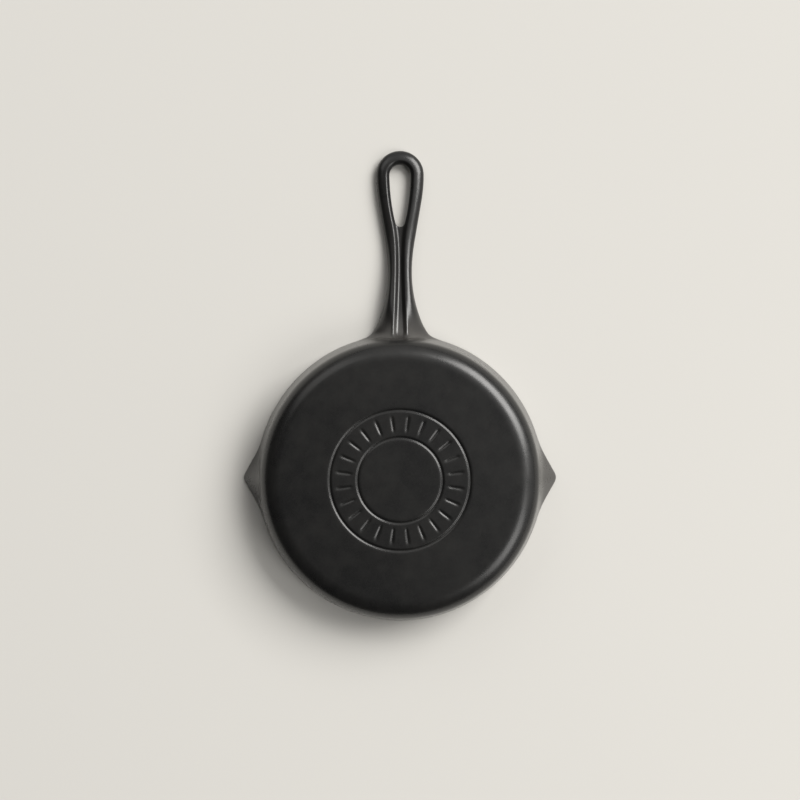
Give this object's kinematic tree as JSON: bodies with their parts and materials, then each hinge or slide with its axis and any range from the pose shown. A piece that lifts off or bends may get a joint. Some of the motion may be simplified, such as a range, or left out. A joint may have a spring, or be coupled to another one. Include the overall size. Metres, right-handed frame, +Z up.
{
  "type": "cast iron skillet",
  "caption": "Round cast iron skillet with a leaning wall, two pointed pour lips and a long handle that ends in a hanging loop.",
  "frame": {"origin": "centre of the flat resting face under the pan", "axes": "+Z up out of the bowl, +X along the handle towards its loop, +Y towards the pour lip on the right hand of a cook who holds the handle"},
  "size_m": [0.4579, 0.3048, 0.05],
  "materials": {
    "seasoned_iron": "seasoned satin black with a fine casting grain",
    "rim_iron": "seasoned satin, slightly worn along the edge"
  },
  "bodies": {
    "root": {"pan_floor": "seasoned_iron", "side_wall": "seasoned_iron", "rim_handle_side": "rim_iron", "rim_far_side": "rim_iron", "left_pour_lip": "rim_iron", "right_pour_lip": "rim_iron", "handle_root": "seasoned_iron", "handle_grip": "seasoned_iron", "hanging_loop": "seasoned_iron"}
  },
  "joints": []
}
